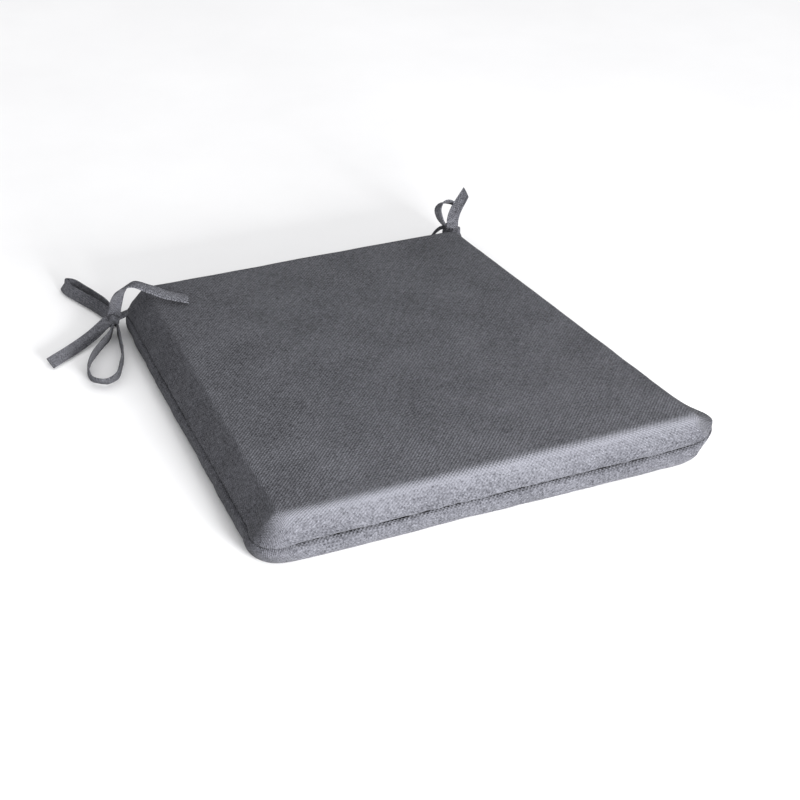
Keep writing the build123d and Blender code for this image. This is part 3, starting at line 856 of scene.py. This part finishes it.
# Each strip stands for a CAD node: its body, its line, widths, cut and curl, and how it is held.
for body, cad, line, widths, cut, curl, held, rests in (
    ("left_tie", "left_loop_back", back_line, back_widths, 0, 0, "folded", "floor"),
    ("left_tie", "left_loop_front", front_line, front_widths, 0, 0, "folded", "floor"),
    ("left_tie", "left_tail_out", outer_tail, outer_widths, -0.15, 0.4, "laid", "floor"),
    ("left_tie", "left_tail_over", inner_tail, inner_widths, -0.35, 0.3, "laid", "top_cover_cloth"),
    ("right_tie", "right_tail_up", upper_tail, tail_widths, -0.5, 0.8, "hung", "right_knot_wrap"),
    ("right_tie", "right_loop_up", upper_loop, loop_widths, 0, 0, "folded", "right_knot_wrap"),
    ("right_tie", "right_tail_down", lower_tail, lower_width, 0.2, 0.3, "hung", "right_knot_wrap"),
    ("right_tie", "right_loop_down", lower_loop, drop_side, 0, 0, "folded", "right_knot_wrap"),
):
    strip, length = ribbon(cad + "_strap", line, widths, cut, curl)
    lay(strip, body, cad)

# The necks come out of the seam. The left bow turns on its knot, so its neck stays with the pad; the
# right bow folds at the seam, so its neck bends from the pad to the bow.
inner_root = LEFT_ROOT + 6.0 * unit(LEFT_ROOT - LEFT_KNOT)
neck_line = [inner_root, LEFT_ROOT, LEFT_KNOT + (1.5, 0, 0.5)]
left_neck, length = ribbon("left_neck_strap", neck_line, LEFT_TANGENT)
lay(left_neck, "pad", "left_neck")
seam_root = RIGHT_ROOT + (-1.8, -5.5, -0.3)
right_neck, length = ribbon("right_neck_strap", [seam_root, RIGHT_ROOT, RIGHT_KNOT], RIGHT_TANGENT)
lay(right_neck, None, "right_neck")
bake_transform(right_neck)


def knot(name, centre, axis, length, body, cad):
    """The strip wound round its own strands: a short creased roll along an axis."""
    side = unit(np.cross(axis, UP))
    top = np.cross(side, axis)
    points, uv, faces = [], [], []
    for i in range(KNOT_RINGS + 1):
        s = -1 + 2 * i / KNOT_RINGS
        for j in range(KNOT_SIDES):
            a = 2 * pi * j / KNOT_SIDES
            shoulder = max(0.0, 1 - abs(s) ** 5) ** 0.5
            fold = 0.5 * sin(3.2 * pi * s + 1.1 * cos(a) + 0.6) + 0.3 * sin(5 * a + 2.5 * s)
            crease = 0.5 * noise.noise(Vector((2.2 * s, 1.3 * cos(a), 1.3 * sin(a) + len(name))))
            r = KNOT_RADIUS * (0.30 + 0.70 * shoulder) + (fold * 0.55 + crease) * shoulder
            lean_in = 0.8 * sin(a + 1.0) * s
            outward = side * cos(a) * 0.92 + top * sin(a)
            points.append(centre + axis * (s * length / 2 + lean_in) + outward * r)
            uv.append((s * length / 2 + 300, KNOT_RADIUS * a))
    for i in range(KNOT_RINGS):
        faces += band_faces((i + 1) * KNOT_SIDES, i * KNOT_SIDES, KNOT_SIDES)
    for base, facing in ((0, 1), (KNOT_RINGS * KNOT_SIDES, -1)):
        for j in range(KNOT_SIDES // 2 - 1):
            across = base + KNOT_SIDES - 1 - j
            faces.append((base + j, base + j + 1, across - 1, across)[::facing])
    made = add_mesh(name, points, faces, STRAP, uv)
    made.modifiers.new("Finer", "SUBSURF").levels = 1
    bake_modifiers(made)
    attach(made, body)
    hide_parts(cad)


knot("left_knot_wrap", LEFT_KNOT, LEFT_TANGENT, 13.0, "left_tie", "left_knot")
right_centre = RIGHT_KNOT + sideways - upward
knot("right_knot_wrap", right_centre, RIGHT_TANGENT, 11.0, "right_tie", "right_knot")


# --- The zip and the threads ---------------------------------------------------------------------


def tube(name, lines, radius, sides, material):
    """Round threads or wires along lines, as one mesh with closed ends."""
    points, faces = [], []
    for line in lines:
        line = np.asarray(line, float)
        tangent = unit(np.gradient(line, axis=0))
        helper = np.where(np.abs(tangent[:, 2:]) < 0.9, UP, np.array((1.0, 0.0, 0.0)))
        first = unit(np.cross(tangent, helper))
        second = np.cross(tangent, first)
        base = len(points)
        for k, centre in enumerate(line):
            for j in range(sides):
                a = 2 * pi * j / sides
                points.append(centre + radius * (cos(a) * first[k] + sin(a) * second[k]))
        for k in range(len(line) - 1):
            faces += band_faces(base + k * sides, base + (k + 1) * sides, sides)
        end = base + (len(line) - 1) * sides
        faces.append(tuple(range(base, base + sides))[::-1])
        faces.append(tuple(range(end, end + sides)))
    return add_mesh(name, points, faces, material)


def box_mm(cad):
    """A CAD node's lowest and highest corner in millimetres."""
    low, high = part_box(cad)
    return np.array(low) / MM, np.array(high) / MM


for side, cad in ((1, "zip_upper_coil"), (-1, "zip_lower_coil")):
    low, high = box_mm(cad)
    middle, reach = (low + high) / 2, (high - low) / 2 - COIL_WIRE
    turns = round((high[0] - low[0] - 2) / COIL_PITCH)
    a = np.linspace(0, 2 * pi * turns, 9 * turns)
    flatten = 1 + 0.12 * np.cos(2 * a)
    line = np.column_stack((
        low[0] + 1 + COIL_PITCH * a / (2 * pi) + 0.25 * side * np.sin(a),
        middle[1] + reach[1] * np.cos(a) * flatten,
        middle[2] + reach[2] * np.sin(a) * flatten,
    ))
    coil = tube(cad + "_teeth", [line], COIL_WIRE, 6, COIL)
    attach(coil, "pad")
    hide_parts(cad)

low, high = box_mm("zip_stitching")
rows = []
count = int((high[0] - low[0]) / (STITCH + STITCH_GAP))
for y, z in ((low[1] + 0.9, high[2] - 0.3), (high[1] - 0.3, low[2] + 0.3)):
    for k in range(count):
        x = low[0] + k * (STITCH + STITCH_GAP) + 0.2
        wander = 0.06 * sin(9.0 * k)
        rows.append([
            (x + s * STITCH, y + 0.45 * sin(pi * s) - 0.25, z + wander) for s in np.linspace(0, 1, 6)
        ])
stitches = tube("zip_stitch_rows", rows, STITCH_THREAD, 6, THREAD)
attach(stitches, "pad")
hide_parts("zip_stitching")

for cad, material in (
    ("seam_needle_thread", THREAD), ("seam_bobbin_thread", THREAD),
    ("left_bar_tack", THREAD), ("right_bar_tack", THREAD),
    ("zip_upper_tape", TAPE), ("zip_lower_tape", TAPE),
    ("zip_end_stops", METAL), ("zip_slider", METAL), ("zip_pull", METAL),
):
    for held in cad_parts[cad].material_slots:
        held.material = material


# --- Floor, light and camera ---------------------------------------------------------------------

floor_corners = [(x * FLOOR_HALF, y * FLOOR_HALF, 0) for x, y in ((-1, -1), (1, -1), (1, 1), (-1, 1))]
floor = add_mesh("floor", floor_corners, [(0, 1, 2, 3)], FLOOR)

# The sky is a little brighter on the right than on the left.
world = bpy.data.worlds.new("studio")
world.use_nodes = True
sky = world.node_tree
facing = node(sky, "ShaderNodeSeparateXYZ")
sky.links.new(node(sky, "ShaderNodeTexCoord").outputs["Generated"], facing.inputs[0])
background = sky.nodes["Background"]
sky.links.new(spread(sky, facing.outputs[0], -1.0, 0.4, 0.75, 1.08), background.inputs["Strength"])
background.inputs["Color"].default_value = (1.0, 1.0, 1.0, 1)
bpy.context.scene.world = world


def area_light(name, at, aim, size, power):
    """A soft square lamp at a point in metres, aimed at another."""
    lamp = bpy.data.lights.new(name, "AREA")
    lamp.shape = "SQUARE"
    lamp.size = size
    lamp.energy = power
    made = bpy.data.objects.new(name, lamp)
    made.location = at
    made.rotation_euler = (Vector(aim) - Vector(at)).to_track_quat("-Z", "Y").to_euler()
    bpy.context.collection.objects.link(made)


area_light("front_key", (0.03, -1.15, 0.165), (0, 0, 0.02), 0.5, 53)


def camera_turn(azimuth, elevation, roll):
    """The camera's rotation: looking from an azimuth round the object and an elevation, then rolled."""
    a, e, r = radians(azimuth), radians(elevation), radians(roll)
    back = Vector((sin(a) * cos(e), -cos(a) * cos(e), sin(e)))
    right = Vector((0, 0, 1)).cross(back).normalized()
    top = back.cross(right)
    rows = Matrix((cos(r) * right + sin(r) * top, cos(r) * top - sin(r) * right, back))
    return rows.transposed().to_4x4()


camera = bpy.data.objects.new("camera", bpy.data.cameras.new("camera"))
camera.data.lens = CAMERA_LENS
camera.data.sensor_width = CAMERA_SENSOR
turn = camera_turn(CAMERA_AZIMUTH, CAMERA_ELEVATION, CAMERA_ROLL)
camera.matrix_world = Matrix.Translation(CAMERA_AT) @ turn
bpy.context.collection.objects.link(camera)
bpy.context.scene.camera = camera
bpy.context.scene.view_settings.view_transform = "Standard"
